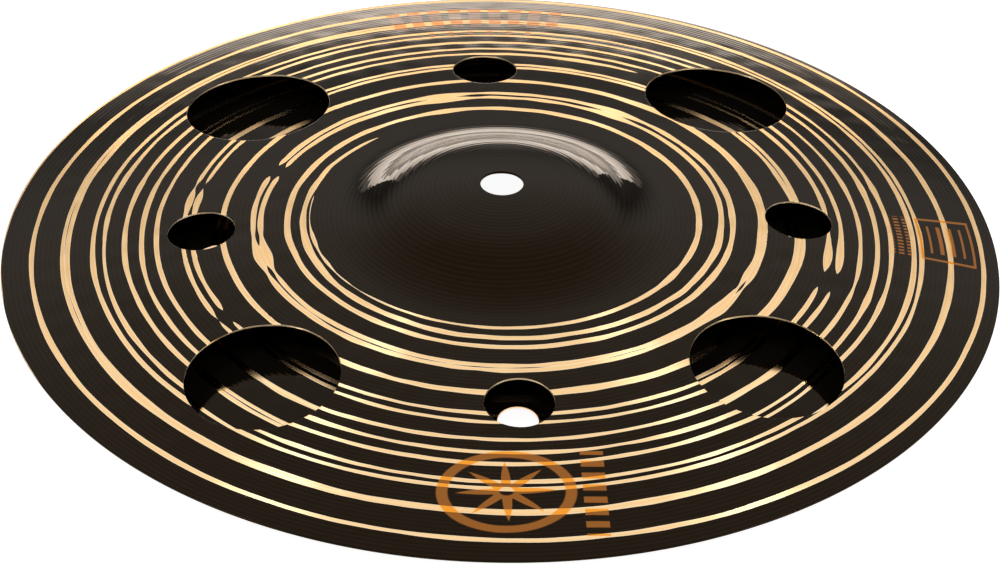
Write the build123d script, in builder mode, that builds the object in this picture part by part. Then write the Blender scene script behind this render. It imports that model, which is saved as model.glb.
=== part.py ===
from build123d import *
import math
import os

# A pierced two-piece cymbal stack: a bell-up top cymbal nests on a deeper bottom cymbal whose
# rim turns back up. Both are single spun and hammered bronze plates on one axis.
# Each plate lies between two parallel chains of tangent arcs, turned about the axis. The bows are
# arcs so flat that each is drawn as one cubic, which stays within a few hundredths of the arc.
# Millimetres. +Z is up, the origin is on the axis, level with the lowest ring of the bottom cymbal.

# ---- whole stack -------------------------------------------------------------------------------
top_diameter = 304.8           # nominal twelve inches
top_thickness = 0.7
bottom_thickness = 0.7
nesting_clearance = 0.3        # between the two plates, where they nest at the bell and at the rim
rim_setback = 1.6              # the bottom rim stops this far inside the top rim

# ---- top cymbal: slopes are in degrees below level ---------------------------------------------
crown_radius = 160.0
crown_slope = 9.0              # where the flat crown turns into the bell's shoulder
shoulder_radius = 32.0
bell_slope = 33.0              # the steepest part of the bell
bell_foot_radius = 34.2
bow_inner_slope = 3.4          # where the bell's foot runs out into the bow
bow_radius = 693.0

# ---- bottom cymbal: the same crown and shoulder, then a steeper bell, a lower bow and a lip ----
bottom_bell_slope = 42.0
bottom_flank_length = 12.0
bottom_foot_radius = 15.0
bottom_bow_inner_slope = 4.0
bottom_bow_radius = 727.0
lip_width = 22.5               # from where the bow ends out to the rim
lip_turn_radius = 25.0
lip_turn_rise = 16.0           # degrees above level where the turn runs out into the lip

# ---- holes -------------------------------------------------------------------------------------
bore_diameter = 13.0           # for the sleeve of a cymbal stand
bottom_bore_diameter = 16.0
holes_around = 4               # of each size, evenly spaced
large_hole_diameter = 45.6
large_hole_margin = 25.7       # from the hole's edge to the rim
small_hole_diameter = 20.6
small_hole_margin = 50.8
vent_diameter = 12.0           # the holes in the bottom cymbal
vent_margin = 57.5

# ---- worked out --------------------------------------------------------------------------------
top_radius = top_diameter / 2
bottom_radius = top_radius - rim_setback
nest_depth = top_thickness + nesting_clearance
large_hole_circle = top_radius - large_hole_margin - large_hole_diameter / 2
small_hole_circle = top_radius - small_hole_margin - small_hole_diameter / 2
vent_circle = bottom_radius - vent_margin - vent_diameter / 2
half_spacing = 180 / holes_around


def run_and_drop(radius, slope_in, slope_out):
    """How far out and how far down a tangent arc goes between two slopes below level."""
    turn = 1 if slope_out > slope_in else -1
    a = math.radians(slope_in)
    b = math.radians(slope_out)
    run = turn * radius * (math.sin(b) - math.sin(a))
    drop = turn * radius * (math.cos(a) - math.cos(b))
    return run, drop


def slope_after(run, radius, slope_in):
    """The slope below level of a convex arc once it has gone out by run."""
    return math.degrees(math.asin(math.sin(math.radians(slope_in)) + run / radius))


def total(spans):
    """The whole run and drop of a chain of spans."""
    return sum(span[0] for span in spans), sum(span[1] for span in spans)


# ---- top cymbal's levels, measured down from its apex --------------------------------------------
top_bell_spans = [
    run_and_drop(crown_radius, 0, crown_slope),
    run_and_drop(shoulder_radius, crown_slope, bell_slope),
    run_and_drop(bell_foot_radius, bell_slope, bow_inner_slope),
]
bow_start, bow_start_drop = total(top_bell_spans)
rim_slope = slope_after(top_radius - bow_start, bow_radius, bow_inner_slope)
bow_centre = bow_start - bow_radius * math.sin(math.radians(bow_inner_slope))
bow_centre_drop = bow_start_drop + bow_radius * math.cos(math.radians(bow_inner_slope))

# ---- bottom cymbal's levels, measured down from the top cymbal's apex ----------------------------
bell_angle = math.radians(bottom_bell_slope)
bottom_bell_spans = [
    (0, nest_depth),
    run_and_drop(crown_radius - nest_depth, 0, crown_slope),
    run_and_drop(shoulder_radius - nest_depth, crown_slope, bottom_bell_slope),
    (bottom_flank_length * math.cos(bell_angle), bottom_flank_length * math.sin(bell_angle)),
    run_and_drop(bottom_foot_radius, bottom_bell_slope, bottom_bow_inner_slope),
]
bottom_bow_start = total(bottom_bell_spans)[0]
bottom_bow_run = bottom_radius - lip_width - bottom_bow_start
lip_dip_slope = slope_after(bottom_bow_run, bottom_bow_radius, bottom_bow_inner_slope)
down_to_lip = bottom_bell_spans + [run_and_drop(bottom_bow_radius, bottom_bow_inner_slope, lip_dip_slope)]
apex_height = total(down_to_lip + [run_and_drop(lip_turn_radius, lip_dip_slope, 0)])[1] + bottom_thickness

# The lip is one arc from the end of its turn to the rim, where its upper surface comes up to the
# nesting clearance under the top cymbal.
lip_start = total(down_to_lip + [run_and_drop(lip_turn_radius, lip_dip_slope, -lip_turn_rise)])
rim_drop = bow_centre_drop - math.sqrt((bow_radius - nest_depth) ** 2 - (bottom_radius - bow_centre) ** 2)
lip_run = bottom_radius - lip_start[0]
lip_climb = lip_start[1] - rim_drop
lip_half_turn = math.degrees(math.atan2(lip_climb, lip_run)) - lip_turn_rise
lip_radius = math.hypot(lip_run, lip_climb) / (2 * math.sin(math.radians(lip_half_turn)))


def bow_line(start, radius, slope_in, slope_out):
    """A flat convex arc of that radius, as one cubic with the arc's ends and end slopes."""
    run, drop = run_and_drop(radius, slope_in, slope_out)
    ends = [(math.cos(math.radians(slope)), -math.sin(math.radians(slope))) for slope in (slope_in, slope_out)]
    return Spline(start, start + Vector(run, -drop), tangents=ends)


def top_line(depth):
    """The top cymbal's section at a depth below its upper surface, from the axis to the rim."""
    crown = JernArc((0, apex_height - depth), (1, 0), crown_radius - depth, -crown_slope)
    shoulder = JernArc(crown @ 1, crown % 1, shoulder_radius - depth, crown_slope - bell_slope)
    foot = JernArc(shoulder @ 1, shoulder % 1, bell_foot_radius + depth, bell_slope - bow_inner_slope)
    bow = bow_line(foot @ 1, bow_radius - depth, bow_inner_slope, rim_slope)
    return crown @ 0, bow @ 1


def bottom_line(depth):
    """The bottom cymbal's section at a depth below its upper surface, from the axis to the rim."""
    below = nest_depth + depth
    crown = JernArc((0, apex_height - below), (1, 0), crown_radius - below, -crown_slope)
    shoulder = JernArc(crown @ 1, crown % 1, shoulder_radius - below, crown_slope - bottom_bell_slope)
    flank = Line(shoulder @ 1, shoulder @ 1 + (shoulder % 1) * bottom_flank_length)
    foot_turn = bottom_bell_slope - bottom_bow_inner_slope
    foot = JernArc(flank @ 1, flank % 1, bottom_foot_radius + depth, foot_turn)
    bow = bow_line(foot @ 1, bottom_bow_radius - depth, bottom_bow_inner_slope, lip_dip_slope)
    turn = JernArc(bow @ 1, bow % 1, lip_turn_radius + depth, lip_dip_slope + lip_turn_rise)
    lip = JernArc(turn @ 1, turn % 1, lip_radius + depth, 2 * lip_half_turn)
    return crown @ 0, lip @ 1


# ---- top cymbal ----------------------------------------------------------------------------------
with BuildPart() as top_cymbal:
    with BuildSketch(Plane.XZ):
        with BuildLine():
            upper_apex, upper_rim = top_line(0)
            lower_apex, lower_rim = top_line(top_thickness)
            Line(upper_apex, lower_apex)
            Line(upper_rim, lower_rim)
        make_face()
    revolve(axis=Axis.Z)
    with BuildSketch():
        Circle(bore_diameter / 2)
        with PolarLocations(large_hole_circle, holes_around, start_angle=half_spacing):
            Circle(large_hole_diameter / 2)
        with PolarLocations(small_hole_circle, holes_around):
            Circle(small_hole_diameter / 2)
    extrude(amount=apex_height, mode=Mode.SUBTRACT)

# ---- bottom cymbal -------------------------------------------------------------------------------
with BuildPart() as bottom_cymbal:
    with BuildSketch(Plane.XZ):
        with BuildLine():
            upper_apex, upper_rim = bottom_line(0)
            lower_apex, lower_rim = bottom_line(bottom_thickness)
            Line(upper_apex, lower_apex)
            Line(upper_rim, lower_rim)
        make_face()
    revolve(axis=Axis.Z)
    with BuildSketch():
        Circle(bottom_bore_diameter / 2)
        with PolarLocations(vent_circle, holes_around):
            Circle(vent_diameter / 2)
    extrude(amount=apex_height, mode=Mode.SUBTRACT)

top_cymbal.part.label = "top_cymbal"
bottom_cymbal.part.label = "bottom_cymbal"

os.makedirs("parts", exist_ok=True)
export_step(top_cymbal.part, "parts/top_cymbal.step")
export_step(bottom_cymbal.part, "parts/bottom_cymbal.step")

print("apex height", round(apex_height, 3), "rim level", round(upper_rim.Y, 3))
print("hole circles", round(large_hole_circle, 2), round(small_hole_circle, 2), round(vent_circle, 2))
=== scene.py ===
import math

import bpy
import numpy as np
from mathutils import Matrix, Vector


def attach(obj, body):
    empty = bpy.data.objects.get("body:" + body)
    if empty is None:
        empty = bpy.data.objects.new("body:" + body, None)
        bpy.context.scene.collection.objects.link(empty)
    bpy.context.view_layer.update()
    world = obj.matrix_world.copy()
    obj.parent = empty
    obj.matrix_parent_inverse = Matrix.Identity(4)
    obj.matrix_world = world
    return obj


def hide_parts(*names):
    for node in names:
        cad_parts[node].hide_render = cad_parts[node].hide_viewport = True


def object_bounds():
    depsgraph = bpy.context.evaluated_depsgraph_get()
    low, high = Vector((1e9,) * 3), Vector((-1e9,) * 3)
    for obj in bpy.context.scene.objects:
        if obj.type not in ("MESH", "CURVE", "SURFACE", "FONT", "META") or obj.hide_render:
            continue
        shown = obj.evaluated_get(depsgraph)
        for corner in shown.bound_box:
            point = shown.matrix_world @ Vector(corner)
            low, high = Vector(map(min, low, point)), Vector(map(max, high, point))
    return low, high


# A pierced two-piece cymbal stack in cast bronze. Both plates are hammered, coated nearly black, and then
# turned once more on the lathe, where two spiral cuts bare the bronze. Metres, in the frame of the packed
# model: +Z is up, the origin is on the axis, level with the lowest ring of the bottom cymbal.

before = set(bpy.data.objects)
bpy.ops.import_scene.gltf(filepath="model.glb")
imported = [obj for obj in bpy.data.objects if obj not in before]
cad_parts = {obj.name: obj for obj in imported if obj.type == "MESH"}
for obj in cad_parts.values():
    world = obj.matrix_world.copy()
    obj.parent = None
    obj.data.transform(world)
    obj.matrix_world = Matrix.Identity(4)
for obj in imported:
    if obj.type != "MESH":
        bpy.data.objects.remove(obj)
cad_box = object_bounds()

MM = 0.001

# ---- plates: the same driving sizes as the solids ------------------------------------------------
PLATE = 0.7 * MM               # thickness of both plates
NEST = 0.3 * MM                # clearance where the plates nest
TOP_RADIUS = 152.4 * MM
RIM_SETBACK = 1.6 * MM
BOTTOM_RADIUS = TOP_RADIUS - RIM_SETBACK
CROWN_RADIUS, CROWN_SLOPE = 160 * MM, 9.0
SHOULDER_RADIUS, BELL_SLOPE = 32 * MM, 33.0
BELL_FOOT_RADIUS, BOW_INNER_SLOPE = 34.2 * MM, 3.4
BOW_RADIUS = 693 * MM
BOTTOM_BELL_SLOPE, BOTTOM_FLANK = 42.0, 12 * MM
BOTTOM_FOOT_RADIUS, BOTTOM_BOW_INNER_SLOPE = 15 * MM, 4.0
BOTTOM_BOW_RADIUS = 727 * MM
LIP_WIDTH, LIP_TURN_RADIUS, LIP_TURN_RISE = 22.5 * MM, 25 * MM, 16.0
APEX = 31.687 * MM             # height of the top plate on the axis, where its bore is

BORE, BOTTOM_BORE = 6.5 * MM, 8.0 * MM                     # radii
HOLES_AROUND = 4
LARGE_HOLE, LARGE_HOLE_MARGIN = 22.8 * MM, 25.7 * MM       # radius, and edge to rim
SMALL_HOLE, SMALL_HOLE_MARGIN = 10.3 * MM, 50.8 * MM
VENT, VENT_MARGIN = 6.0 * MM, 57.5 * MM

# ---- mesh ------------------------------------------------------------------------------------------
AROUND = 432                   # grid lines round a plate
ROWS = 92                      # grid lines from the bore to the rim
EDGE_ROUND = 0.13 * MM         # the broken edge of a hole or rim
EDGE_BEND = EDGE_ROUND * (1 - math.sqrt(0.5))              # how far in the middle of that round lies
EDGE_GUARD = 0.22 * MM         # a row this close to an edge keeps the shading flat up to it
BLOCK_MARGIN = 3.2 * MM        # room round a hole that its own patch takes over from the grid
PATCH_RINGS = 4                # steps from that patch's outline in to the hole's edge

# ---- hammering ---------------------------------------------------------------------------------------
LATTICE_MIDDLE = 100 * MM      # the radius at which the noise's cells are as long as they are wide
LATTICE_REACH = 160 * MM       # the radius that the noise has to cover
WAVE_HEIGHT, WAVE_CELL = 0.10 * MM, 26 * MM                # the long slow wave under the blows
FIRST_RING, RING_GAP = 62 * MM, 8.5 * MM                   # rings of blows, from the bell outwards
BLOW_GAP = 11.5 * MM           # between two blows of a ring
BLOW_STRAY = 1.6               # how far a blow may land off its ring, in millimetres
BLOW_REACH = 6.2 * MM          # half of a dent's width across its ring
DENT_DEPTHS = 0.02, 0.13       # least and greatest, in millimetres
BELL_CALM, BELL_FADE = 50 * MM, 14 * MM                    # flat inside this radius, full this far on
RIM_CALM, RIM_FADE = 1.5 * MM, 9 * MM                      # the same in from the rim
RING_CALM, RING_FADE = 2 * MM, 8 * MM                      # and on both sides of a ring kept flat

# ---- spiral cuts: radii in millimetres at each half turn, counted from a half turn -----------------
HALF_TURN = 0.5
DENSE = 40                     # steps in which a half turn is drawn out
NO_CUT = -9                    # a half width well below nothing
TOP_CUTS = (
    [57.5, 60.4, 65.2, 70.8, 75.5, 80.6, 84.9, 92.2, 96.9, 104.0, 109.5, 115.3, 120.9, 126.5, 132.0,
     137.5, 142.9, 147.8, 152.8],
    [60.3, 67.3, 73.2, 79.4, 84.9, 90.6, 94.0, 100.2, 104.9, 109.9, 114.5, 119.3, 124.2, 128.7, 133.4,
     137.9, 142.9, 147.8, 152.8],
)
BOTTOM_CUTS = (
    [56.0, 61.5, 66.5, 71.8, 76.8, 82.0, 85.3, 90.2, 96.6, 101.8, 107.2, 111.5, 117.3, 122.2, 129.0,
     133.5, 139.0, 144.0, 149.0],
    [57.4, 63.0, 68.2, 73.0, 78.2, 83.6, 87.9, 92.3, 97.6, 102.8, 108.4, 114.3, 120.2, 123.2, 130.0,
     134.6, 140.2, 145.0, 150.0],
)

# Where a hard or a soft hammer blow has left the top plate low or high, so that the cuts run wide, run into
# each other or fade out: place from the axis, reach and change of half width, all in millimetres.
TOP_BLOWS = [
    (-72.3, -16.9, 4.5, 1.1), (-73.6, -6.5, 3.5, -0.5), (-69.8, -25.5, 4.0, -0.6), (-67.9, 29.9, 3.2, -2.6),
    (-94.8, 17.0, 5.0, 0.5), (-91.1, 25.2, 3.0, -0.9), (-83.4, -44.8, 3.2, -1.8), (-14.3, 68.8, 7.0, 1.1),
    (-3.9, 71.7, 3.6, -0.6), (39.4, 60.1, 6.5, 1.0), (48.5, 52.5, 4.0, -0.4), (97.3, -31.6, 4.2, -3.0),
    (98.0, -18.0, 7.0, 0.6), (97.5, -3.0, 4.0, -0.4), (62.6, -49.2, 5.0, 0.6), (69.8, -37.5, 4.0, -0.5),
    (52.0, 88.0, 4.0, -0.9), (30.0, 96.0, 6.0, 0.5), (-52.0, 71.0, 5.0, 0.5), (116.0, 22.0, 4.5, 0.4),
    (108.0, -40.0, 5.0, 0.4), (-110.0, 30.0, 4.0, 0.3), (20.0, -84.0, 5.0, 0.4), (-56.8, -12.0, 7.0, 0.5),
    (-34.0, -78.0, 5.0, -0.3),
]

# how both plates' cuts vary, in millimetres but for the taper's length, in turns
WANDER, WANDER_CELL = 0.20, 13 * MM                        # how far the hammered surface throws a cut off
WIDTH_CHANGE, WIDTH_CELL = 0.24, 10 * MM                   # how far it changes half the width of one
INNER_EXTRA, INNER_RADIUS, INNER_FADE = 0.25, 95, 30       # the cuts are wider towards the bell
TAPER_DEPTH, TAPER_TURNS = 2.5, 0.035                      # the point in which a cut ends inwards


# ==== sections ======================================================================================
def section(start_height, spans, step=0.2 * MM):
    """Upper surface of a plate as dense radius, height and slope. A span is (arc radius, slope in, slope
    out), an arc that keeps its tangent, or (length, slope), a straight run. Slopes are degrees below level,
    and an arc of radius R from slope a to b goes out by R(sin b - sin a) and down by R(cos a - cos b), both
    with the sign of b - a."""
    radius, height, slope = [np.zeros(1)], [np.array([start_height])], [np.zeros(1)]
    for span in spans:
        if len(span) == 2:
            length, angle = span[0], math.radians(span[1])
            t = np.linspace(0, length, max(2, int(length / step)))[1:]
            out, down, tilt = t * math.cos(angle), t * math.sin(angle), np.full_like(t, angle)
        else:
            arc, a, b = span[0], math.radians(span[1]), math.radians(span[2])
            tilt = np.linspace(a, b, max(3, int(arc * abs(b - a) / step)))[1:]
            turn = math.copysign(1.0, b - a)
            out = turn * arc * (np.sin(tilt) - math.sin(a))
            down = turn * arc * (math.cos(a) - np.cos(tilt))
        radius.append(radius[-1][-1] + out)
        height.append(height[-1][-1] - down)
        slope.append(tilt)
    return np.concatenate(radius), np.concatenate(height), np.concatenate(slope)


def slope_after(run, radius, slope_in):
    """Slope in degrees of a convex arc once it has gone out by run: sin b = sin a + run / radius."""
    return math.degrees(math.asin(math.sin(math.radians(slope_in)) + run / radius))


def top_section(apex):
    """Crown, shoulder, bell foot and bow of the top cymbal."""
    bell = [(CROWN_RADIUS, 0, CROWN_SLOPE), (SHOULDER_RADIUS, CROWN_SLOPE, BELL_SLOPE),
            (BELL_FOOT_RADIUS, BELL_SLOPE, BOW_INNER_SLOPE)]
    bow_start = section(apex, bell)[0][-1]
    rim_slope = slope_after(TOP_RADIUS - bow_start, BOW_RADIUS, BOW_INNER_SLOPE)
    return section(apex, bell + [(BOW_RADIUS, BOW_INNER_SLOPE, rim_slope)])


def bottom_section(apex, rim_height):
    """Crown, shoulder, flank, foot, bow, turn and lip of the bottom cymbal. The lip is one arc up to the
    rim height: its chord's angle is the mean of its two end slopes."""
    down = PLATE + NEST
    spans = [(CROWN_RADIUS - down, 0, CROWN_SLOPE),
             (SHOULDER_RADIUS - down, CROWN_SLOPE, BOTTOM_BELL_SLOPE),
             (BOTTOM_FLANK, BOTTOM_BELL_SLOPE),
             (BOTTOM_FOOT_RADIUS, BOTTOM_BELL_SLOPE, BOTTOM_BOW_INNER_SLOPE)]
    bow_start = section(apex, spans)[0][-1]
    dip = slope_after(BOTTOM_RADIUS - LIP_WIDTH - bow_start, BOTTOM_BOW_RADIUS, BOTTOM_BOW_INNER_SLOPE)
    spans += [(BOTTOM_BOW_RADIUS, BOTTOM_BOW_INNER_SLOPE, dip), (LIP_TURN_RADIUS, dip, -LIP_TURN_RISE)]
    radius, height, _ = section(apex, spans)
    run, climb = BOTTOM_RADIUS - radius[-1], rim_height - height[-1]
    half_turn = math.atan2(climb, run) - math.radians(LIP_TURN_RISE)
    lip_radius = math.hypot(run, climb) / (2 * math.sin(half_turn))
    spans.append((lip_radius, -LIP_TURN_RISE, -LIP_TURN_RISE - 2 * math.degrees(half_turn)))
    return section(apex, spans)


# ==== hammering and the wander of the cuts ==========================================================
def lattice_noise(radius, azimuth, cell, seed):
    """Values from -1 to 1 at the crossings of rings one cell apart and spokes about one cell apart, joined
    by straight lines round the plate and by smooth steps across it."""
    spokes = int(2 * math.pi * LATTICE_MIDDLE / cell)
    values = np.random.default_rng(seed).uniform(-1, 1, (int(LATTICE_REACH / cell) + 3, spokes))
    ring = radius / cell
    row = np.floor(ring).astype(int)
    across = ring - row
    across = across * across * (3 - 2 * across)
    spoke = azimuth / (2 * math.pi) % 1 * spokes
    column = np.floor(spoke).astype(int) % spokes
    along = spoke - np.floor(spoke)
    ahead = (column + 1) % spokes
    low = values[row, column] * (1 - along) + values[row, ahead] * along
    high = values[row + 1, column] * (1 - along) + values[row + 1, ahead] * along
    return low * (1 - across) + high * across


def hammering(radius, azimuth, rim, flat_ring, seed):
    """Height of the hammered surface over the spun one. Rings of shallow dents, one blow after another
    round each ring, each dent (1 - u^2)^2 (1 - v^2)^2 of its own depth, on a long slow wave. It fades out
    on the bell, at the rim and along flat_ring, where the plates nest or the stack stands."""
    random = np.random.default_rng(seed)
    height = WAVE_HEIGHT * lattice_noise(radius, azimuth, WAVE_CELL, seed + 1)
    for ring in np.arange(FIRST_RING, rim, RING_GAP):
        blows = int(2 * math.pi * ring / BLOW_GAP)
        place = azimuth / (2 * math.pi) % 1 * blows + random.uniform()
        blow = np.floor(place).astype(int) % blows
        depth = random.uniform(*DENT_DEPTHS, blows) * MM
        centre = ring + random.uniform(-BLOW_STRAY, BLOW_STRAY, blows) * MM
        across = np.clip((radius - centre[blow]) / BLOW_REACH, -1, 1)
        along = 2 * (place - np.floor(place)) - 1
        height -= depth[blow] * (1 - across ** 2) ** 2 * (1 - along ** 2) ** 2
    fade = np.clip((radius - BELL_CALM) / BELL_FADE, 0, 1)
    fade = fade * np.clip((rim - RIM_CALM - radius) / RIM_FADE, 0, 1)
    if flat_ring:
        fade = fade * np.clip((np.abs(radius - flat_ring) - RING_CALM) / RING_FADE, 0, 1)
    return height * fade


def spiral_line(marks):
    """A cut's radius in millimetres against its turn, as two dense lists: a cubic through the marks whose
    slope at each is the mean of its two neighbours' (Catmull-Rom)."""
    marks = np.array(marks)
    turns = HALF_TURN + HALF_TURN * np.arange(len(marks))
    dense = np.linspace(turns[0], turns[-1], DENSE * len(marks))
    grown = np.concatenate([[2 * marks[0] - marks[1]], marks, [2 * marks[-1] - marks[-2]]])
    k = np.clip(((dense - turns[0]) / HALF_TURN).astype(int), 0, len(marks) - 2)
    t = (dense - turns[k]) / HALF_TURN
    before, start, end, after = grown[k], grown[k + 1], grown[k + 2], grown[k + 3]
    line = 0.5 * (2 * start + (end - before) * t + (2 * before - 5 * start + 4 * end - after) * t ** 2
                  + (3 * start - before - 3 * end + after) * t ** 3)
    return dense, line


def spiral_cut(radius, azimuth, marks, first_turn, runout, half_width, blows, seed):
    """One lathe cut as three values at each point: the turn at which the cut passes this radius, the
    millimetres that it moves out in a turn there, and half its width in millimetres. The cut passes a point
    where turn less azimuth is whole. marks are its radii at each half turn, and past their ends it goes on
    at the same pitch; runout shifts its centre along +Y. Inwards, its half width falls below nothing just
    before it comes to first_turn, so that it ends there in a point. A blow changes the half width by a bell
    curve of the distance, exp(-(away / reach)^2)."""
    x, y = radius * np.cos(azimuth), radius * np.sin(azimuth)
    cut_radius = np.hypot(x, y - runout) / MM
    cut_radius = cut_radius + WANDER * lattice_noise(radius, azimuth, WANDER_CELL, seed)
    dense, line = spiral_line(marks)
    start_pitch = (marks[1] - marks[0]) / HALF_TURN
    end_pitch = (marks[-1] - marks[-2]) / HALF_TURN
    turn = np.interp(cut_radius, line, dense)
    turn = np.where(cut_radius < line[0], dense[0] + (cut_radius - line[0]) / start_pitch, turn)
    turn = np.where(cut_radius > line[-1], dense[-1] + (cut_radius - line[-1]) / end_pitch, turn)
    pitch = np.interp(turn, dense, np.gradient(line, dense))
    half = half_width + WIDTH_CHANGE * lattice_noise(radius, azimuth, WIDTH_CELL, seed + 7)
    half += INNER_EXTRA * np.clip((INNER_RADIUS - cut_radius) / INNER_FADE, 0, 1)
    half -= TAPER_DEPTH * np.clip((first_turn - turn) / TAPER_TURNS + 1, 0, 1) ** 2
    for blow_x, blow_y, reach, change in blows:
        away = np.hypot(x / MM - blow_x, y / MM - blow_y)
        half += change * np.exp(-(away / reach) ** 2)
    return turn, pitch, half


# ==== plates ========================================================================================
def hole_sleeve(centre, hole, block, upper, under):
    """A closed band of points from a block of the upper grid in to a round hole, through its rounded wall
    and back out to the same block of the lower grid. Each ring is the block's outline drawn in towards the
    circle; the wall's edges are quarter rounds. Gives plan positions, heights and how bare the metal is."""
    outline = np.stack([block.real, block.imag], -1)
    spoke = outline - centre
    spoke /= np.linalg.norm(spoke, axis=1, keepdims=True)
    guard = centre + spoke * (hole + EDGE_ROUND + EDGE_GUARD)
    rings = [outline + (guard - outline) * t for t in np.linspace(0, 1, PATCH_RINGS + 1)]
    wall = [(EDGE_ROUND, 0, 0), (EDGE_BEND, EDGE_BEND, 0), (0, EDGE_ROUND, 1)]
    plan, height, bare = [], [], []
    for ring in rings:
        plan.append(ring)
        height.append(upper(ring))
        bare.append(0)
    for out, down, worked in wall:
        ring = centre + spoke * (hole + out)
        plan.append(ring)
        height.append(upper(ring) - down)
        bare.append(worked)
    for out, down, worked in wall[::-1]:
        ring = centre + spoke * (hole + out)
        plan.append(ring)
        height.append(under(ring) + down)
        bare.append(worked)
    for ring in rings[::-1]:
        plan.append(ring)
        height.append(under(ring))
        bare.append(0)
    return np.array(plan), np.array(height), np.array(bare, float)


def plate(name, line, bore, holes, seed, flat_ring=None):
    """A pierced bronze plate as one closed mesh. Its two faces are polar grids, point (i, j) at azimuth
    2 pi i / AROUND and radius row j, with the height read off the section; a square block of cells round
    each hole gives way to that hole's sleeve. The bore and the rim are sleeves too, and keep the coat.
    holes are (circle, radius, first azimuth)."""
    radius_line, height_line, slope_line = line
    under_radius = radius_line - PLATE * np.sin(slope_line)
    under_height = height_line - PLATE * np.cos(slope_line)
    rim, under_rim = radius_line[-1], under_radius[-1]

    def raised(plan):
        r, azimuth = np.hypot(plan[..., 0], plan[..., 1]), np.arctan2(plan[..., 1], plan[..., 0])
        return r, hammering(r, azimuth, rim, flat_ring, seed)

    def upper(plan):
        r, blows = raised(plan)
        return np.interp(r, radius_line, height_line) + blows

    def under(plan):
        r, blows = raised(plan)
        return np.interp(r, under_radius, under_height) + blows

    # rows a constant way apart along the section, with a guard row beside the bore and the rim
    along = np.concatenate([[0], np.cumsum(np.hypot(np.diff(radius_line), np.diff(height_line)))])
    first, last = np.interp([bore + EDGE_ROUND, rim - EDGE_ROUND], radius_line, along)
    inner = np.linspace(first, last, ROWS)[1:-1]
    stops = np.concatenate([[first, first + EDGE_GUARD], inner[1:-1], [last - EDGE_GUARD, last]])
    rows = np.interp(stops, along, radius_line)
    azimuths = 2 * math.pi * np.arange(AROUND) / AROUND
    unit = np.exp(1j * azimuths)
    flat = unit[:, None] * rows[None, :]
    plan = np.stack([flat.real, flat.imag], -1)
    under_rows = rows.copy()
    under_rows[-2:] += under_rim - rim
    under_flat = unit[:, None] * under_rows[None, :]
    under_plan = np.stack([under_flat.real, under_flat.imag], -1)
    columns = len(rows)
    count = AROUND * columns
    points = [np.concatenate([plan, upper(plan)[..., None]], -1).reshape(-1, 3),
              np.concatenate([under_plan, under(under_plan)[..., None]], -1).reshape(-1, 3)]
    bare = [np.zeros(2 * count)]
    total = 2 * count
    kept = np.ones((AROUND, columns - 1), bool)
    quads = []

    def add_sleeve(ring_points, ring_bare, first_ids, last_ids, flip=False):
        """Joins rings of points into a band whose first and last rings are grid points already there."""
        nonlocal total
        middle = ring_points[1:-1]
        ids = total + np.arange(middle.shape[0] * middle.shape[1]).reshape(middle.shape[:2])
        total += ids.size
        points.append(middle.reshape(-1, 3))
        bare.append(np.repeat(ring_bare[1:-1], middle.shape[1]))
        ids = np.concatenate([first_ids[None], ids, last_ids[None]])
        ahead = np.roll(ids, -1, axis=1)
        band = np.stack([ids[:-1], ahead[:-1], ahead[1:], ids[1:]], -1).reshape(-1, 4)
        quads.append(band[:, ::-1] if flip else band)

    for circle, hole, first_azimuth in holes:
        reach = hole + BLOCK_MARGIN
        j0 = int(np.searchsorted(rows, circle - reach)) - 1
        j1 = int(np.searchsorted(rows, circle + reach))
        half = int(math.ceil(reach / circle / (2 * math.pi) * AROUND)) + 1
        for k in range(HOLES_AROUND):
            azimuth = first_azimuth + 2 * math.pi * k / HOLES_AROUND
            middle = int(round(azimuth / (2 * math.pi) * AROUND))
            i = np.arange(middle - half, middle + half + 1)
            j = np.arange(j0, j1 + 1)
            kept[np.ix_(i[:-1] % AROUND, j[:-1])] = False
            side_i, side_j = len(i) - 1, len(j) - 1
            around_i = np.concatenate([np.full(side_j, i[0]), i[:-1], np.full(side_j, i[-1]), i[:0:-1]])
            around_j = np.concatenate([j[:-1], np.full(side_i, j1), j[:0:-1], np.full(side_i, j0)])
            ids = around_i % AROUND * columns + around_j
            centre = circle * np.array([math.cos(azimuth), math.sin(azimuth)])
            sleeve_plan, height, worked = hole_sleeve(centre, hole, flat.reshape(-1)[ids], upper, under)
            add_sleeve(np.concatenate([sleeve_plan, height[..., None]], -1), worked, ids, ids + count)

    # the bore's wall, then the rim, whose face stands square to the plate
    start = np.arange(AROUND) * columns
    bore_line = [(bore + EDGE_ROUND, 0), (bore + EDGE_BEND, -EDGE_BEND), (bore, -EDGE_ROUND)]
    top, low = np.interp(bore, radius_line, height_line), np.interp(bore, under_radius, under_height)
    bore_rings = [(r, top + z) for r, z in bore_line] + [(r, low - z) for r, z in bore_line[::-1]]
    tilt = slope_line[-1]
    out = np.array([math.cos(tilt), -math.sin(tilt)])
    up = np.array([math.sin(tilt), math.cos(tilt)])
    corner = np.array([rim, height_line[-1]])
    foot = np.array([under_rim, under_height[-1]])
    rim_rings = [corner - out * EDGE_ROUND, corner - (out + up) * EDGE_BEND, corner - up * EDGE_ROUND,
                 foot + up * EDGE_ROUND, foot - (out - up) * EDGE_BEND, foot - out * EDGE_ROUND]
    for rings, ids, flip in ((bore_rings, start, False), (rim_rings, start + columns - 1, True)):
        r, z = np.array(rings).T
        ring_points = np.stack([r[:, None] * unit.real, r[:, None] * unit.imag,
                                np.repeat(z[:, None], AROUND, 1)], -1)
        add_sleeve(ring_points, np.zeros(len(rings)), ids, ids + count, flip)

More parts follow.
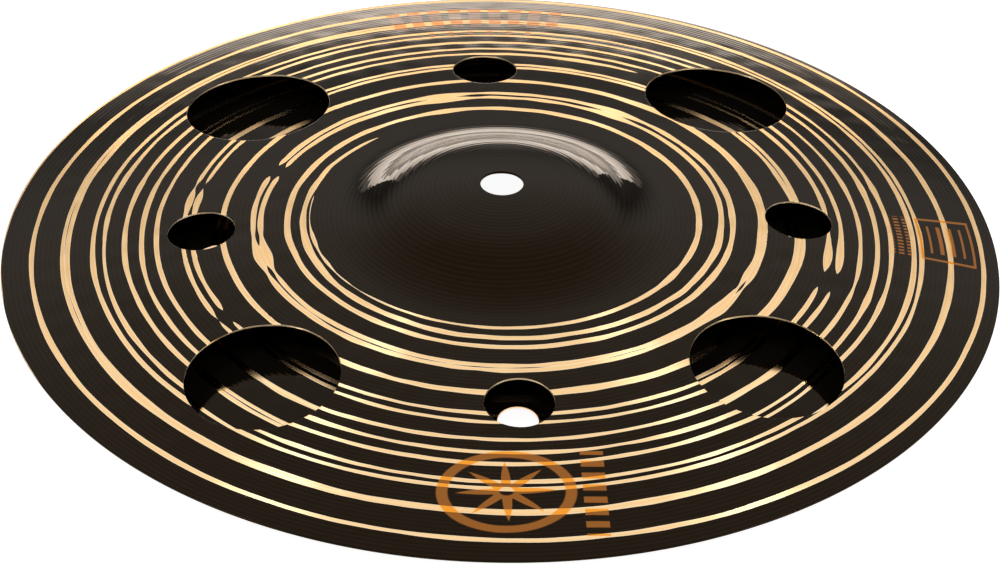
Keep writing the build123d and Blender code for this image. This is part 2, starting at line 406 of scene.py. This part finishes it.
    i, j = np.nonzero(kept)
    cell = np.stack([i * columns + j, i * columns + j + 1, (i + 1) % AROUND * columns + j + 1,
                     (i + 1) % AROUND * columns + j], -1)
    quads += [cell, cell[:, ::-1] + count]
    return mesh_object(name, np.concatenate(points), np.concatenate(quads), np.concatenate(bare))


def mesh_object(name, points, quads, bare):
    """Puts the points that a face uses into a smooth-shaded mesh, with the bare-metal mask on them."""
    used = np.zeros(len(points), bool)
    used[quads] = True
    renumbered = np.cumsum(used) - 1
    mesh = bpy.data.meshes.new(name)
    mesh.from_pydata(points[used], [], renumbered[quads])
    mesh.polygons.foreach_set("use_smooth", np.ones(len(quads), bool))
    store(mesh, "bare_edge", bare[used])
    mesh.update()
    piece = bpy.data.objects.new(name, mesh)
    bpy.context.scene.collection.objects.link(piece)
    return piece


def store(mesh, name, values):
    """Keeps a number, or three, at each point of a mesh for its material."""
    kind = "FLOAT" if values.ndim == 1 else "FLOAT_VECTOR"
    attribute = mesh.attributes.new(name, kind, "POINT")
    key = "value" if values.ndim == 1 else "vector"
    attribute.data.foreach_set(key, values.astype(np.float32).ravel())


def cut_spirals(piece, cuts, first_turns, runout, half_width, seed, blows=()):
    """Stores both of a plate's spiral cuts on its points. The underside keeps its coat: there the width is
    below nothing."""
    vertices = piece.data.vertices
    points, normals = np.empty(len(vertices) * 3), np.empty(len(vertices) * 3)
    vertices.foreach_get("co", points)
    vertices.foreach_get("normal", normals)
    x, y, _ = points.reshape(-1, 3).T
    below = normals[2::3] < 0
    for k, name in enumerate(("cut_a", "cut_b")):
        turn, pitch, half = spiral_cut(np.hypot(x, y), np.arctan2(y, x), cuts[k], first_turns[k], runout,
                                       half_width, blows, seed + 50 * k)
        store(piece.data, name, np.stack([turn, pitch, np.where(below, NO_CUT, half)], -1))


# ==== node helpers ==================================================================================
def wire(tree, socket, value):
    """Links a socket, or sets it to a constant."""
    if isinstance(value, bpy.types.NodeSocket):
        tree.links.new(value, socket)
    else:
        socket.default_value = value


def calc(tree, operation, *values):
    node = tree.nodes.new("ShaderNodeMath")
    node.operation = operation
    for socket, value in zip(node.inputs, values):
        wire(tree, socket, value)
    return node.outputs[0]


def step(tree, value, low, high, to_low=0.0, to_high=1.0):
    """A smooth step from to_low to to_high as value goes from low to high."""
    node = tree.nodes.new("ShaderNodeMapRange")
    node.interpolation_type = "SMOOTHSTEP"
    for socket, given in zip(node.inputs, (value, low, high, to_low, to_high)):
        wire(tree, socket, given)
    return node.outputs["Result"]


def mix(tree, share, a, b):
    """Colour a where share is 0 and colour b where it is 1."""
    node = tree.nodes.new("ShaderNodeMix")
    node.data_type = "RGBA"
    wire(tree, node.inputs["Factor"], share)
    wire(tree, node.inputs["A"], a)
    wire(tree, node.inputs["B"], b)
    return node.outputs["Result"]


def noise(tree, vector, scale, detail=2.0):
    node = tree.nodes.new("ShaderNodeTexNoise")
    node.inputs["Scale"].default_value = scale
    node.inputs["Detail"].default_value = detail
    wire(tree, node.inputs["Vector"], vector)
    return node.outputs["Fac"]


def attribute(tree, name, output):
    node = tree.nodes.new("ShaderNodeAttribute")
    node.attribute_name = name
    return node.outputs[output]


def split(tree, vector):
    node = tree.nodes.new("ShaderNodeSeparateXYZ")
    wire(tree, node.inputs[0], vector)
    return node.outputs


def group(name, inputs, outputs):
    """An empty shader node group with named sockets, and its two end nodes."""
    tree = bpy.data.node_groups.new(name, "ShaderNodeTree")
    for socket, kind in inputs:
        tree.interface.new_socket(socket, in_out="INPUT", socket_type="NodeSocket" + kind)
    for socket, kind in outputs:
        tree.interface.new_socket(socket, in_out="OUTPUT", socket_type="NodeSocket" + kind)
    return tree, tree.nodes.new("NodeGroupInput").outputs, tree.nodes.new("NodeGroupOutput").inputs


def place(tree, made, **values):
    """Puts a node group into a material with its own values."""
    node = tree.nodes.new("ShaderNodeGroup")
    node.node_tree = made
    for socket, value in values.items():
        wire(tree, node.inputs[socket], value)
    return node.outputs


# ==== shared effects ================================================================================
def polar_group():
    """Radius in millimetres and azimuth in turns, from a point's own place."""
    tree, given, out = group("polar place", [("Point", "Vector")],
                             [("Radius", "Float"), ("Azimuth", "Float")])
    x, y, _ = split(tree, given["Point"])
    square = calc(tree, "ADD", calc(tree, "MULTIPLY", x, x), calc(tree, "MULTIPLY", y, y))
    wire(tree, out["Radius"], calc(tree, "MULTIPLY", calc(tree, "SQRT", square), 1 / MM))
    wire(tree, out["Azimuth"], calc(tree, "DIVIDE", calc(tree, "ARCTAN2", y, x), 2 * math.pi))
    return tree


def cut_group():
    """How far inside the nearest pass of a spiral cut a point is, in millimetres: half the cut's width
    less the pitch times the distance, in turns, to the nearest whole turn."""
    tree, given, out = group("spiral cut", [("Cut", "Vector"), ("Azimuth", "Float")], [("Inside", "Float")])
    turn, pitch, half_width = split(tree, given["Cut"])
    phase = calc(tree, "FRACT", calc(tree, "ADD", calc(tree, "SUBTRACT", turn, given["Azimuth"]), 0.5))
    away = calc(tree, "MULTIPLY", calc(tree, "ABSOLUTE", calc(tree, "SUBTRACT", phase, 0.5)), pitch)
    wire(tree, out["Inside"], calc(tree, "SUBTRACT", half_width, away))
    return tree


def groove_group():
    """Fine lathe grooves: a cosine of the radius, its depth varied by coarse noise, plus fine noise. Both
    noises read the radius in millimetres but the place only in GROOVE_DRIFT units a metre, so that they
    change slowly round the plate. Height is about -1 to 1.5, and Tone is a softer pattern for colour."""
    tree, given, out = group("lathe grooves",
                             [("Point", "Vector"), ("Radius", "Float"), ("Pitch", "Float")],
                             [("Height", "Float"), ("Tone", "Float")])
    passes = calc(tree, "DIVIDE", given["Radius"], given["Pitch"])
    wave = calc(tree, "COSINE", calc(tree, "MULTIPLY", passes, 2 * math.pi))
    stretched = tree.nodes.new("ShaderNodeCombineXYZ")
    x, y, _ = split(tree, given["Point"])
    wire(tree, stretched.inputs[0], given["Radius"])
    wire(tree, stretched.inputs[1], calc(tree, "MULTIPLY", x, GROOVE_DRIFT))
    wire(tree, stretched.inputs[2], calc(tree, "MULTIPLY", y, GROOVE_DRIFT))
    coarse = noise(tree, stretched.outputs[0], COARSE_SCALE)
    fine = noise(tree, stretched.outputs[0], FINE_SCALE, FINE_DETAIL)
    depth = step(tree, coarse, *SHALLOW_RANGE, SHALLOW, 1.0)
    turned = calc(tree, "MULTIPLY", wave, depth)
    wire(tree, out["Height"], calc(tree, "ADD", turned, calc(tree, "MULTIPLY", fine, FINE_SHARE)))
    wire(tree, out["Tone"], calc(tree, "ADD", calc(tree, "MULTIPLY", wave, WAVE_TONE), fine))
    return tree


# ==== bronze ========================================================================================
COAT_DARK, COAT_LIGHT = (0.0024, 0.0019, 0.0013, 1), (0.0058, 0.0045, 0.0030, 1)
# the second bronze is a painted highlight along the edges of each cut
BRONZE, PAINTED_HIGHLIGHT_BRONZE, BRONZE_LOW = (1.0, 0.73, 0.41, 1), (1.0, 0.88, 0.66, 1), (0.89, 0.59, 0.30, 1)
INK, INK_ON_METAL = (0.22, 0.080, 0.016, 1), (0.95, 0.36, 0.02, 1)
FAINT_INK, FAINT_INK_ON_METAL = (0.12, 0.060, 0.032, 1), (0.72, 0.34, 0.18, 1)
INK_COVER, FAINT_COVER = 0.94, 0.85            # how much of what lies under the print it hides
COAT_ROUGHNESS = 0.04
COAT_IOR = 1.20                # a thin lacquer that reflects little when seen from above
SPECULAR_TINT = (1.0, 0.58, 0.26, 1)           # and browns what it reflects
BRUSHED_ROUND = 0.25           # a quarter turn from the radial tangent: grooves that run round the plate

# the groove pattern, which reads the radius in millimetres
GROOVE_PITCH = 1.5
GROOVE_DRIFT = 18.0            # what a metre round the plate counts for in the two noises below
COARSE_SCALE = 0.33
FINE_SCALE, FINE_DETAIL, FINE_SHARE = 2.2, 3.0, 0.5
SHALLOW, SHALLOW_RANGE = 0.35, (0.35, 0.65)    # the least depth, and the coarse noise that sets the depth
WAVE_TONE = 0.25               # how much of the wave goes into the colour pattern
COAT_TONES, METAL_TONES, METAL_SHARE = (0.25, 0.95), (0.2, 0.9), 0.55

# masks over how far inside a cut a point is: where each is 0 and where it is 1, in millimetres
CUT_COLOUR, CUT_METAL = (-0.03, 0.05), (-0.11, -0.05)
PAINTED_HIGHLIGHT_BAND, PAINTED_HIGHLIGHT_SHARE = (0.05, 0.34), 0.75  # a painted highlight, lighter metal along a cut's edges: 1, then 0
# the same over the mark that worked edges carry
EDGE_COLOUR, EDGE_METAL = (0.3, 0.7), (0.1, 0.3)

# ---- printed marks: low and high ends, in millimetres, or in degrees round the plate -----------------
SUN_CENTRE, SUN_REACH = (-5.7, -126.6), (20.0, 15.5)
SUN_RING, SUN_EYE = (0.83, 0.99), (0.09, 0.12)             # shares of its reach
STAR_POINTS, STAR_WAIST, STAR_RAYS, STAR_SOFT = 8.0, 0.20, 0.52, 0.02
LADDER_X, LADDER_Y, LADDER_PITCH = (15.8, 22.4), (-143.6, -111.6), 4.57
STAMP_RADIUS, STAMP_DEGREES = (137.0, 8.5), (-1.5, 5.0)    # centre and reach
STAMP_FRAME, STAMP_INSIDE = (0.90, 0.99), (0.62, 0.66)     # shares of its reach
TICK_RADIUS, TICK_DEGREES = (120.0, 125.5), (-6.5, 3.5)
BAR_RADIUS, BAR_DEGREES = (126.5, 143.0), (78.0, 103.0)
DOT_RADIUS, DOT_DEGREES = (118.8, 122.4), (80.0, 98.0)
LINE_SOFT, STRIPE_SOFT = 0.015, 0.04           # soft edges, as shares of a reach and of a pitch


def band(tree, value, low, high, soft):
    """1 where value lies between low and high, with edges that wide."""
    rise = step(tree, value, low - soft, low + soft)
    return calc(tree, "MULTIPLY", rise, step(tree, value, high - soft, high + soft, 1.0, 0.0))


def both(tree, *masks):
    """Where every mask is."""
    whole = masks[0]
    for mask in masks[1:]:
        whole = calc(tree, "MULTIPLY", whole, mask)
    return whole


def either(tree, *masks):
    """Where any mask is."""
    whole = masks[0]
    for mask in masks[1:]:
        whole = calc(tree, "MAXIMUM", whole, mask)
    return whole


def scaled(tree, value, centre, reach):
    """A coordinate that is 0 at centre and 1 at reach from it."""
    return calc(tree, "DIVIDE", calc(tree, "SUBTRACT", value, centre), reach)


def stripes(tree, value, pitch, share):
    """Bars across value, a pitch apart, that cover a share of it."""
    phase = calc(tree, "FRACT", calc(tree, "DIVIDE", value, pitch))
    return band(tree, phase, 0.5 - share / 2, 0.5 + share / 2, STRIPE_SOFT)


def sun_mark(tree, x, y):
    """An oval ring round an eight-pointed star with a hole in its middle. The star's outline is at radius
    STAR_WAIST + STAR_RAYS w^2, where w is a triangle wave eight times round."""
    across = scaled(tree, x, SUN_CENTRE[0], SUN_REACH[0])
    up = scaled(tree, y, SUN_CENTRE[1], SUN_REACH[1])
    square = calc(tree, "ADD", calc(tree, "MULTIPLY", across, across), calc(tree, "MULTIPLY", up, up))
    away = calc(tree, "SQRT", square)
    turn = calc(tree, "DIVIDE", calc(tree, "ARCTAN2", up, across), 2 * math.pi)
    phase = calc(tree, "FRACT", calc(tree, "ADD", calc(tree, "MULTIPLY", turn, STAR_POINTS), STAR_POINTS))
    wave = calc(tree, "ABSOLUTE", calc(tree, "SUBTRACT", calc(tree, "MULTIPLY", phase, 2.0), 1.0))
    rays = calc(tree, "MULTIPLY", calc(tree, "MULTIPLY", wave, wave), STAR_RAYS)
    outline = calc(tree, "ADD", rays, STAR_WAIST)
    inside_star = step(tree, calc(tree, "SUBTRACT", outline, away), -STAR_SOFT, STAR_SOFT)
    star = both(tree, inside_star, step(tree, away, *SUN_EYE))
    return either(tree, band(tree, away, *SUN_RING, LINE_SOFT), star)


def ladder_mark(tree, x, y):
    """A column of short bars beside the sun."""
    across, along = band(tree, x, *LADDER_X, soft=0.15), band(tree, y, *LADDER_Y, soft=0.15)
    return both(tree, across, along, stripes(tree, y, LADDER_PITCH, share=0.5))


def stamp_mark(tree, radius, degrees):
    """A small outlined stamp near the rim: a frame of thin lines with bars inside, and rows of ticks."""
    out, along = scaled(tree, radius, *STAMP_RADIUS), scaled(tree, degrees, *STAMP_DEGREES)
    edge = calc(tree, "MAXIMUM", calc(tree, "ABSOLUTE", out), calc(tree, "ABSOLUTE", along))
    frame_line = band(tree, edge, *STAMP_FRAME, LINE_SOFT)
    inner = both(tree, step(tree, edge, *STAMP_INSIDE, 1.0, 0.0), stripes(tree, out, pitch=0.42, share=0.35))
    ticks = both(tree, band(tree, radius, *TICK_RADIUS, soft=0.12),
                 band(tree, degrees, *TICK_DEGREES, soft=0.08),
                 stripes(tree, degrees, pitch=0.8, share=0.5), stripes(tree, radius, pitch=2.75, share=0.62))
    return either(tree, frame_line, inner, ticks)


def far_marks(tree, radius, degrees):
    """Broad bars in a band near the rim, and a dotted line inside them."""
    bars = both(tree, band(tree, radius, *BAR_RADIUS, soft=0.2), band(tree, degrees, *BAR_DEGREES, soft=0.1),
                stripes(tree, degrees, pitch=2.78, share=0.62))
    dots = both(tree, band(tree, radius, *DOT_RADIUS, soft=0.2), band(tree, degrees, *DOT_DEGREES, soft=0.1),
                stripes(tree, degrees, pitch=3.0, share=0.28))
    return either(tree, bars, dots)


def printed_marks(tree, point, radius, azimuth, bare, colour):
    """Thin orange print on the top plate: over the coat it is paint, over a cut it stains the metal."""
    x, y, _ = split(tree, point)
    x, y = calc(tree, "MULTIPLY", x, 1 / MM), calc(tree, "MULTIPLY", y, 1 / MM)
    degrees = calc(tree, "MULTIPLY", azimuth, 360.0)
    strong = either(tree, sun_mark(tree, x, y), ladder_mark(tree, x, y), stamp_mark(tree, radius, degrees))
    faint = calc(tree, "MULTIPLY", far_marks(tree, radius, degrees), FAINT_COVER)
    colour = mix(tree, faint, colour, mix(tree, bare, FAINT_INK, FAINT_INK_ON_METAL))
    return mix(tree, calc(tree, "MULTIPLY", strong, INK_COVER), colour, mix(tree, bare, INK, INK_ON_METAL))


def bronze_material(name, shared, groove_depth, cut_depth, smoothed, coat_tone_and_painted_shade, bare_roughness, marks=None):
    """Coated bronze with the spiral cuts through the coat. Bare metal is where either cut or a worked edge
    is; it is brushed round the plate, so its gloss spreads across the grooves, and along each cut's edges it
    is lighter, a painted highlight. cut_depth is in units of groove_depth, smoothed is how much shallower
    the grooves are in bare metal, and the coat's tone argument is how much of the groove pattern shows in
    the coat's colour, lightening it: at 0 the coat keeps its darkest colour, painted shade for the bottom
    plate."""
    material = bpy.data.materials.new(name)
    material.use_nodes = True
    tree = material.node_tree
    shader = tree.nodes["Principled BSDF"]
    point = tree.nodes.new("ShaderNodeTexCoord").outputs["Object"]
    radius, azimuth = place(tree, shared["polar"], Point=point)
    insides = [place(tree, shared["cut"], Cut=attribute(tree, cut, "Vector"), Azimuth=azimuth)["Inside"]
               for cut in ("cut_a", "cut_b")]
    inside = calc(tree, "MAXIMUM", *insides)
    bare_cut = step(tree, inside, *CUT_COLOUR)
    # a painted highlight: the metal is lighter along the edges of each cut
    painted_highlight = calc(tree, "MULTIPLY", step(tree, inside, *PAINTED_HIGHLIGHT_BAND, 1.0, 0.0), PAINTED_HIGHLIGHT_SHARE)
    edge = attribute(tree, "bare_edge", "Fac")
    bare = calc(tree, "MAXIMUM", bare_cut, step(tree, edge, *EDGE_COLOUR))
    # the metal starts a hair outside its bright colour, leaving a thin dark line round cuts and worked edges
    metallic = calc(tree, "MAXIMUM", step(tree, inside, *CUT_METAL), step(tree, edge, *EDGE_METAL))
    height, tone = place(tree, shared["grooves"], Point=point, Radius=radius, Pitch=GROOVE_PITCH)

    # at a tone of 0 the coat stays at COAT_DARK all over: painted shade on the bottom plate, which lies
    # under the top one
    coat = mix(tree, step(tree, tone, *COAT_TONES, 0.0, coat_tone_and_painted_shade), COAT_DARK, COAT_LIGHT)
    metal = mix(tree, step(tree, tone, *METAL_TONES, 0.0, METAL_SHARE), BRONZE, BRONZE_LOW)
    # the painted highlight along each cut's edges
    metal = mix(tree, painted_highlight, metal, PAINTED_HIGHLIGHT_BRONZE)
    colour = mix(tree, bare, coat, metal)
    if marks:
        colour = marks(tree, point, radius, azimuth, bare, colour)
    wire(tree, shader.inputs["Base Color"], colour)
    wire(tree, shader.inputs["Metallic"], metallic)
    wire(tree, shader.inputs["Roughness"], step(tree, bare, 0.0, 1.0, COAT_ROUGHNESS, bare_roughness))
    shader.inputs["IOR"].default_value = COAT_IOR
    shader.inputs["Specular Tint"].default_value = SPECULAR_TINT
    shader.inputs["Anisotropic"].default_value = 1.0
    shader.inputs["Anisotropic Rotation"].default_value = BRUSHED_ROUND
    tangent = tree.nodes.new("ShaderNodeTangent")
    tangent.direction_type, tangent.axis = "RADIAL", "Z"
    wire(tree, shader.inputs["Tangent"], tangent.outputs[0])
    bump = tree.nodes.new("ShaderNodeBump")
    bump.inputs["Distance"].default_value = groove_depth
    sunk = calc(tree, "MULTIPLY", bare_cut, -cut_depth)
    grooves = calc(tree, "MULTIPLY", height, step(tree, bare, 0.0, 1.0, 1.0, 1.0 - smoothed))
    wire(tree, bump.inputs["Height"], calc(tree, "ADD", grooves, sunk))
    wire(tree, shader.inputs["Normal"], bump.outputs[0])
    return material


# ==== scene =========================================================================================
WHITE = (1.0, 1.0, 1.0, 1)
LAMP_WARM = (1.0, 0.88, 0.76)
WORLD_TINT, FLOOR_TINT = (1.0, 0.95, 0.885, 1), (1.0, 0.84, 0.70, 1)   # as the metal sees them
WORLD_DIM, WORLD_BRIGHT = 0.12, 1.12           # below and above the two heights
WORLD_RISE = 0.20, 0.55                        # heights on the unit sphere round the scene
FLOOR_RADIUS, FLOOR_SIDES, FLOOR_GAP = 12, 96, 0.3 * MM
FLOOR_GREY, FLOOR_GLOW = (0.4, 0.4, 0.4, 1), 0.95


def softbox(name, target, direction, distance, size, power, colour=(1, 1, 1)):
    """A rectangular lamp that looks at target from a direction."""
    lamp = bpy.data.lights.new(name, "AREA")
    lamp.shape = "RECTANGLE"
    lamp.color = colour
    lamp.size, lamp.size_y = size
    lamp.energy = power
    holder = bpy.data.objects.new(name, lamp)
    away = Vector(direction).normalized()
    holder.location = target + away * distance
    holder.rotation_mode = "QUATERNION"
    holder.rotation_quaternion = away.to_track_quat("Z", "Y")
    holder.visible_camera = False
    bpy.context.scene.collection.objects.link(holder)


def studio_world():
    """Even surroundings that darken towards the horizon; white where the camera sees them."""
    world = bpy.data.worlds.new("studio")
    world.use_nodes = True
    tree = world.node_tree
    _, _, z = split(tree, tree.nodes.new("ShaderNodeTexCoord").outputs["Generated"])
    level = step(tree, z, *WORLD_RISE, WORLD_DIM, WORLD_BRIGHT)
    seen = tree.nodes.new("ShaderNodeLightPath").outputs["Is Camera Ray"]
    strength = calc(tree, "MAXIMUM", level, seen)
    back = tree.nodes["Background"]
    wire(tree, back.inputs["Color"], mix(tree, seen, WORLD_TINT, WHITE))
    wire(tree, back.inputs["Strength"], strength)
    bpy.context.scene.world = world


def floor_piece(level):
    """A wide pale disc just under the stack, evenly bright: one flat face whose corner i is at azimuth
    2 pi i / FLOOR_SIDES."""
    azimuth = 2 * math.pi * np.arange(FLOOR_SIDES) / FLOOR_SIDES
    rim = np.stack([FLOOR_RADIUS * np.cos(azimuth), FLOOR_RADIUS * np.sin(azimuth),
                    np.full(FLOOR_SIDES, level)], -1)
    mesh = bpy.data.meshes.new("floor")
    mesh.from_pydata(rim, [], [list(range(FLOOR_SIDES))])
    material = bpy.data.materials.new("pale_floor")
    material.use_nodes = True
    tree = material.node_tree
    shader = tree.nodes["Principled BSDF"]
    seen = tree.nodes.new("ShaderNodeLightPath").outputs["Is Camera Ray"]
    shader.inputs["Base Color"].default_value = FLOOR_GREY
    shader.inputs["Roughness"].default_value = 1.0
    shader.inputs["Specular IOR Level"].default_value = 0.0
    wire(tree, shader.inputs["Emission Color"], mix(tree, seen, FLOOR_TINT, WHITE))
    shader.inputs["Emission Strength"].default_value = FLOOR_GLOW
    mesh.materials.append(material)
    piece = bpy.data.objects.new("floor", mesh)
    bpy.context.scene.collection.objects.link(piece)


def main_camera(rim_height):
    """Looks down at the stack from the front, a little to one side, with a long lens. It aims at a point
    on the level of the top plate's rim, a little nearer to it than the axis."""
    elevation, azimuth, roll = math.radians(34.469), math.radians(-3.944), math.radians(1.147)
    distance, nearer, focal, sensor = 1217.9 * MM, 16.47, 144.63, 36.0     # the last three in millimetres
    back = Vector((math.sin(azimuth) * math.cos(elevation), -math.cos(azimuth) * math.cos(elevation),
                   math.sin(elevation)))
    right = Vector((math.cos(azimuth), math.sin(azimuth), 0))
    forward = Vector((-math.sin(azimuth), math.cos(azimuth), 0))
    up = back.cross(right)
    x_axis = right * math.cos(roll) + up * math.sin(roll)
    y_axis = up * math.cos(roll) - right * math.sin(roll)
    aim = Vector((0, 0, rim_height)) - forward * nearer * MM
    data = bpy.data.cameras.new("camera")
    data.lens, data.sensor_width = focal, sensor
    camera = bpy.data.objects.new("camera", data)
    camera.matrix_world = (Matrix.Translation(aim + back * distance)
                           @ Matrix((x_axis, y_axis, back)).transposed().to_4x4())
    bpy.context.scene.collection.objects.link(camera)
    bpy.context.scene.camera = camera


def build_plates():
    """Both plates with their cuts and materials, each on its own body in place of its solid."""
    top_line = top_section(APEX)
    radius, height, slope = top_line
    down = PLATE + NEST
    rim_level = np.interp(BOTTOM_RADIUS, radius - down * np.sin(slope), height - down * np.cos(slope))
    bottom_line = bottom_section(height[0] - PLATE - NEST, rim_level)
    lowest_ring = bottom_line[0][np.argmin(bottom_line[1])]
    small_circle = TOP_RADIUS - SMALL_HOLE_MARGIN - SMALL_HOLE
    large_circle = TOP_RADIUS - LARGE_HOLE_MARGIN - LARGE_HOLE
    vent_circle = BOTTOM_RADIUS - VENT_MARGIN - VENT
    top_holes = [(large_circle, LARGE_HOLE, math.pi / HOLES_AROUND), (small_circle, SMALL_HOLE, 0)]
    top = plate("top_plate", top_line, BORE, top_holes, seed=11)
    bottom = plate("bottom_plate", bottom_line, BOTTOM_BORE, [(vent_circle, VENT, 0)], seed=23,
                   flat_ring=lowest_ring)
    cut_spirals(top, TOP_CUTS, first_turns=(0.516, 0.327), runout=0.45 * MM, half_width=0.70, seed=31,
                blows=TOP_BLOWS)
    cut_spirals(bottom, BOTTOM_CUTS, first_turns=(0.5, 0.5), runout=2.1 * MM, half_width=0.62, seed=47)
    shared = {"polar": polar_group(), "cut": cut_group(), "grooves": groove_group()}
    top_bronze = bronze_material("top_bronze", shared, groove_depth=0.009 * MM, cut_depth=1.2, smoothed=0.2,
                                 coat_tone_and_painted_shade=1.0, bare_roughness=0.33, marks=printed_marks)
    # the bottom plate's coat keeps its darkest colour, without the lighter groove tone: painted shade under
    # the top plate
    bottom_bronze = bronze_material("bottom_bronze", shared, groove_depth=0.005 * MM, cut_depth=0.0,
                                    smoothed=0.9, coat_tone_and_painted_shade=0.0, bare_roughness=0.14)
    for piece, body, bronze in ((top, "top", top_bronze), (bottom, "bottom", bottom_bronze)):
        piece.data.materials.append(bronze)
        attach(piece, body)
        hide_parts(body + "_cymbal")
    return height[-1]


def build_studio(rim_height):
    """The floor, a low warm panel in two parts behind the stack, which the far side of the bell mirrors, a
    narrow lamp high on each side for the glints on the cuts, the surroundings and the camera."""
    floor_piece(cad_box[0].z - FLOOR_GAP)
    middle = Vector((0, 0, 20 * MM))
    softbox("rear_panel", middle, direction=(0.026, 0.99, 0.082), distance=2.0, size=(1.45, 0.40),
            power=10.4, colour=LAMP_WARM)
    softbox("rear_panel_top", middle, direction=(0.026, 0.97, 0.228), distance=2.0, size=(1.45, 0.20),
            power=0.85, colour=LAMP_WARM)
    softbox("left_softbox", middle, direction=(-0.60, -0.22, 0.77), distance=1.6, size=(0.17, 0.5), power=7)
    softbox("right_softbox", middle, direction=(0.60, -0.22, 0.77), distance=1.6, size=(0.17, 0.5), power=7)
    studio_world()
    bpy.context.scene.view_settings.view_transform = "Standard"
    main_camera(rim_height)


build_studio(build_plates())
